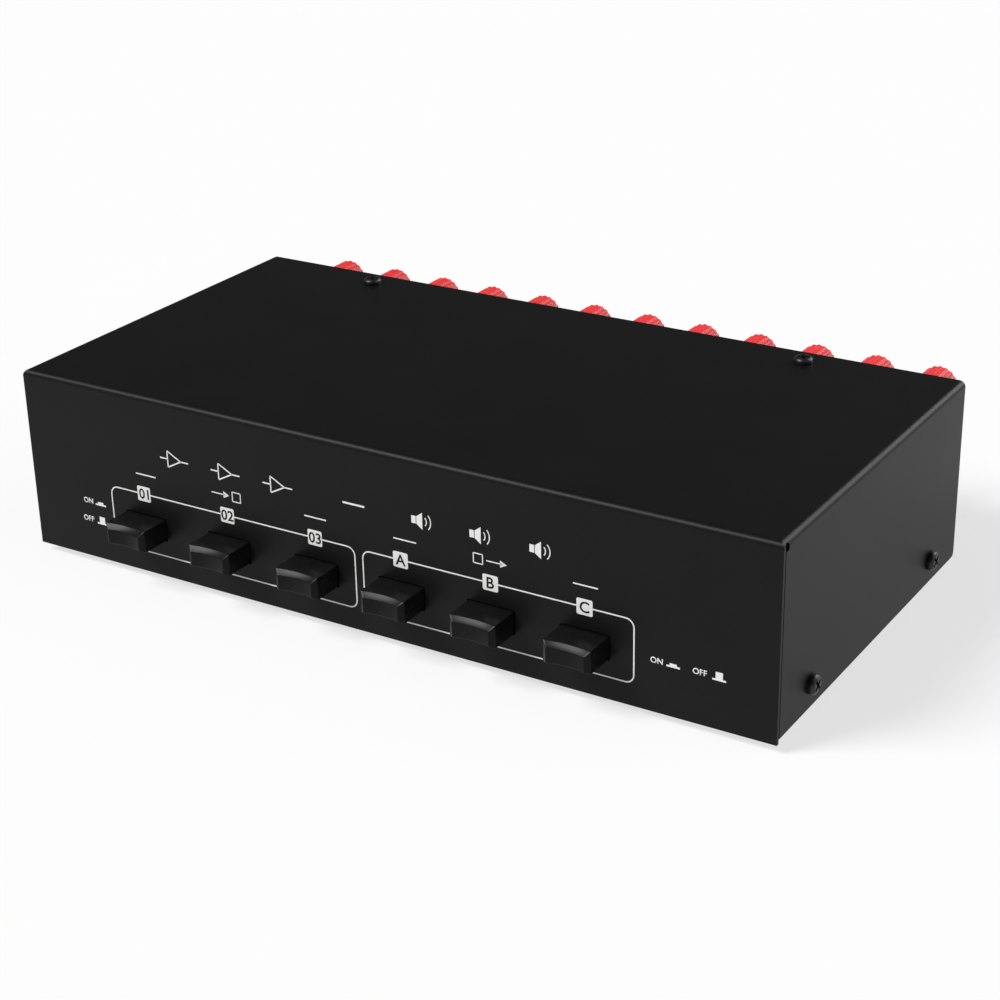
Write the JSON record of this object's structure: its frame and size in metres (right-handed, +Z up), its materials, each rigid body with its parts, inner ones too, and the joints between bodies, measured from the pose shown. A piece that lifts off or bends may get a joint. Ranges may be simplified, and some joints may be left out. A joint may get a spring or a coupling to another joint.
{
  "type": "speaker selector switch",
  "caption": "Low black folded-steel box with a row of push buttons in front and two rows of screw-down binding posts behind, for switching amplifiers and speakers.",
  "frame": {"origin": "middle of the whole object, buttons and binding posts included, on the surface that its feet stand on", "axes": "+X to the right seen from the front, +Y from the button side to the binding posts, +Z up"},
  "size_m": [0.2438, 0.1528, 0.0594],
  "materials": {
    "case_paint": "black powder coat, fine texture, semi-matt",
    "screw_black": "black passivated steel",
    "foot_rubber": "moulded rubber",
    "button_plastic": "black moulded ABS",
    "plunger_plastic": "natural moulded acetal",
    "spring_steel": "bright spring wire",
    "switch_plastic": "black moulded switch body",
    "pin_metal": "tinned brass",
    "board_green": "glass-epoxy board with solder mask",
    "standoff_metal": "machined brass",
    "plated_steel": "zinc-plated steel",
    "cable_sleeve": "PVC-sleeved flat cable",
    "stud_metal": "nickel-plated brass",
    "red_plastic": "red moulded plastic, glossy",
    "black_plastic": "black moulded plastic, glossy"
  },
  "bodies": {
    "case": {"top_cover": "case_paint", "base_chassis": "case_paint", "cover_screws": "screw_black", "rubber_feet": "foot_rubber", "switch_board": "board_green", "switch_housings": "switch_plastic", "switch_pins": "pin_metal", "board_standoffs": "standoff_metal", "board_screws": "plated_steel", "link_cables": "cable_sleeve", "terminal_board": "board_green", "terminal_studs": "stud_metal", "terminal_collars_red": "red_plastic", "terminal_collars_black": "black_plastic", "return_spring_1": "spring_steel", "return_spring_2": "spring_steel", "return_spring_3": "spring_steel", "return_spring_4": "spring_steel", "return_spring_5": "spring_steel", "return_spring_6": "spring_steel"},
    "button_1": {"button_cap_1": "button_plastic", "plunger_1": "plunger_plastic"},
    "button_2": {"button_cap_2": "button_plastic", "plunger_2": "plunger_plastic"},
    "button_3": {"button_cap_3": "button_plastic", "plunger_3": "plunger_plastic"},
    "button_4": {"button_cap_4": "button_plastic", "plunger_4": "plunger_plastic"},
    "button_5": {"button_cap_5": "button_plastic", "plunger_5": "plunger_plastic"},
    "button_6": {"button_cap_6": "button_plastic", "plunger_6": "plunger_plastic"},
    "cap_red_01": {"terminal_cap_red_01": "red_plastic"},
    "cap_red_02": {"terminal_cap_red_02": "red_plastic"},
    "cap_red_03": {"terminal_cap_red_03": "red_plastic"},
    "cap_red_04": {"terminal_cap_red_04": "red_plastic"},
    "cap_red_05": {"terminal_cap_red_05": "red_plastic"},
    "cap_red_06": {"terminal_cap_red_06": "red_plastic"},
    "cap_red_07": {"terminal_cap_red_07": "red_plastic"},
    "cap_red_08": {"terminal_cap_red_08": "red_plastic"},
    "cap_red_09": {"terminal_cap_red_09": "red_plastic"},
    "cap_red_10": {"terminal_cap_red_10": "red_plastic"},
    "cap_red_11": {"terminal_cap_red_11": "red_plastic"},
    "cap_red_12": {"terminal_cap_red_12": "red_plastic"},
    "cap_black_01": {"terminal_cap_black_01": "black_plastic"},
    "cap_black_02": {"terminal_cap_black_02": "black_plastic"},
    "cap_black_03": {"terminal_cap_black_03": "black_plastic"},
    "cap_black_04": {"terminal_cap_black_04": "black_plastic"},
    "cap_black_05": {"terminal_cap_black_05": "black_plastic"},
    "cap_black_06": {"terminal_cap_black_06": "black_plastic"},
    "cap_black_07": {"terminal_cap_black_07": "black_plastic"},
    "cap_black_08": {"terminal_cap_black_08": "black_plastic"},
    "cap_black_09": {"terminal_cap_black_09": "black_plastic"},
    "cap_black_10": {"terminal_cap_black_10": "black_plastic"},
    "cap_black_11": {"terminal_cap_black_11": "black_plastic"},
    "cap_black_12": {"terminal_cap_black_12": "black_plastic"}
  },
  "joints": [
    {"name": "button_1_push", "type": "slide", "parent": "case", "child": "button_1", "axis": [0, 1, 0], "range_m": [0, 0.0045], "stiffness_N_per_m": 150, "deforming": ["return_spring_1"]},
    {"name": "button_2_push", "type": "slide", "parent": "case", "child": "button_2", "axis": [0, 1, 0], "range_m": [0, 0.0045], "stiffness_N_per_m": 150, "deforming": ["return_spring_2"]},
    {"name": "button_3_push", "type": "slide", "parent": "case", "child": "button_3", "axis": [0, 1, 0], "range_m": [0, 0.0045], "stiffness_N_per_m": 150, "deforming": ["return_spring_3"]},
    {"name": "button_4_push", "type": "slide", "parent": "case", "child": "button_4", "axis": [0, 1, 0], "range_m": [0, 0.0045], "stiffness_N_per_m": 150, "deforming": ["return_spring_4"]},
    {"name": "button_5_push", "type": "slide", "parent": "case", "child": "button_5", "axis": [0, 1, 0], "range_m": [0, 0.0045], "stiffness_N_per_m": 150, "deforming": ["return_spring_5"]},
    {"name": "button_6_push", "type": "slide", "parent": "case", "child": "button_6", "axis": [0, 1, 0], "range_m": [0, 0.0045], "stiffness_N_per_m": 150, "deforming": ["return_spring_6"]},
    {"name": "cap_red_01_turn", "type": "hinge", "parent": "case", "child": "cap_red_01", "pos_m": [-0.1045, 0.05865, 0.0463], "axis": [0, 1, 0], "range_deg": [0, 1440]},
    {"name": "cap_red_02_turn", "type": "hinge", "parent": "case", "child": "cap_red_02", "pos_m": [-0.0855, 0.05865, 0.0463], "axis": [0, 1, 0], "range_deg": [0, 1440]},
    {"name": "cap_red_03_turn", "type": "hinge", "parent": "case", "child": "cap_red_03", "pos_m": [-0.0665, 0.05865, 0.0463], "axis": [0, 1, 0], "range_deg": [0, 1440]},
    {"name": "cap_red_04_turn", "type": "hinge", "parent": "case", "child": "cap_red_04", "pos_m": [-0.0475, 0.05865, 0.0463], "axis": [0, 1, 0], "range_deg": [0, 1440]},
    {"name": "cap_red_05_turn", "type": "hinge", "parent": "case", "child": "cap_red_05", "pos_m": [-0.0285, 0.05865, 0.0463], "axis": [0, 1, 0], "range_deg": [0, 1440]},
    {"name": "cap_red_06_turn", "type": "hinge", "parent": "case", "child": "cap_red_06", "pos_m": [-0.0095, 0.05865, 0.0463], "axis": [0, 1, 0], "range_deg": [0, 1440]},
    {"name": "cap_red_07_turn", "type": "hinge", "parent": "case", "child": "cap_red_07", "pos_m": [0.0095, 0.05865, 0.0463], "axis": [0, 1, 0], "range_deg": [0, 1440]},
    {"name": "cap_red_08_turn", "type": "hinge", "parent": "case", "child": "cap_red_08", "pos_m": [0.0285, 0.05865, 0.0463], "axis": [0, 1, 0], "range_deg": [0, 1440]},
    {"name": "cap_red_09_turn", "type": "hinge", "parent": "case", "child": "cap_red_09", "pos_m": [0.0475, 0.05865, 0.0463], "axis": [0, 1, 0], "range_deg": [0, 1440]},
    {"name": "cap_red_10_turn", "type": "hinge", "parent": "case", "child": "cap_red_10", "pos_m": [0.0665, 0.05865, 0.0463], "axis": [0, 1, 0], "range_deg": [0, 1440]},
    {"name": "cap_red_11_turn", "type": "hinge", "parent": "case", "child": "cap_red_11", "pos_m": [0.0855, 0.05865, 0.0463], "axis": [0, 1, 0], "range_deg": [0, 1440]},
    {"name": "cap_red_12_turn", "type": "hinge", "parent": "case", "child": "cap_red_12", "pos_m": [0.1045, 0.05865, 0.0463], "axis": [0, 1, 0], "range_deg": [0, 1440]},
    {"name": "cap_black_01_turn", "type": "hinge", "parent": "case", "child": "cap_black_01", "pos_m": [-0.1045, 0.05865, 0.0273], "axis": [0, 1, 0], "range_deg": [0, 1440]},
    {"name": "cap_black_02_turn", "type": "hinge", "parent": "case", "child": "cap_black_02", "pos_m": [-0.0855, 0.05865, 0.0273], "axis": [0, 1, 0], "range_deg": [0, 1440]},
    {"name": "cap_black_03_turn", "type": "hinge", "parent": "case", "child": "cap_black_03", "pos_m": [-0.0665, 0.05865, 0.0273], "axis": [0, 1, 0], "range_deg": [0, 1440]},
    {"name": "cap_black_04_turn", "type": "hinge", "parent": "case", "child": "cap_black_04", "pos_m": [-0.0475, 0.05865, 0.0273], "axis": [0, 1, 0], "range_deg": [0, 1440]},
    {"name": "cap_black_05_turn", "type": "hinge", "parent": "case", "child": "cap_black_05", "pos_m": [-0.0285, 0.05865, 0.0273], "axis": [0, 1, 0], "range_deg": [0, 1440]},
    {"name": "cap_black_06_turn", "type": "hinge", "parent": "case", "child": "cap_black_06", "pos_m": [-0.0095, 0.05865, 0.0273], "axis": [0, 1, 0], "range_deg": [0, 1440]},
    {"name": "cap_black_07_turn", "type": "hinge", "parent": "case", "child": "cap_black_07", "pos_m": [0.0095, 0.05865, 0.0273], "axis": [0, 1, 0], "range_deg": [0, 1440]},
    {"name": "cap_black_08_turn", "type": "hinge", "parent": "case", "child": "cap_black_08", "pos_m": [0.0285, 0.05865, 0.0273], "axis": [0, 1, 0], "range_deg": [0, 1440]},
    {"name": "cap_black_09_turn", "type": "hinge", "parent": "case", "child": "cap_black_09", "pos_m": [0.0475, 0.05865, 0.0273], "axis": [0, 1, 0], "range_deg": [0, 1440]},
    {"name": "cap_black_10_turn", "type": "hinge", "parent": "case", "child": "cap_black_10", "pos_m": [0.0665, 0.05865, 0.0273], "axis": [0, 1, 0], "range_deg": [0, 1440]},
    {"name": "cap_black_11_turn", "type": "hinge", "parent": "case", "child": "cap_black_11", "pos_m": [0.0855, 0.05865, 0.0273], "axis": [0, 1, 0], "range_deg": [0, 1440]},
    {"name": "cap_black_12_turn", "type": "hinge", "parent": "case", "child": "cap_black_12", "pos_m": [0.1045, 0.05865, 0.0273], "axis": [0, 1, 0], "range_deg": [0, 1440]}
  ]
}
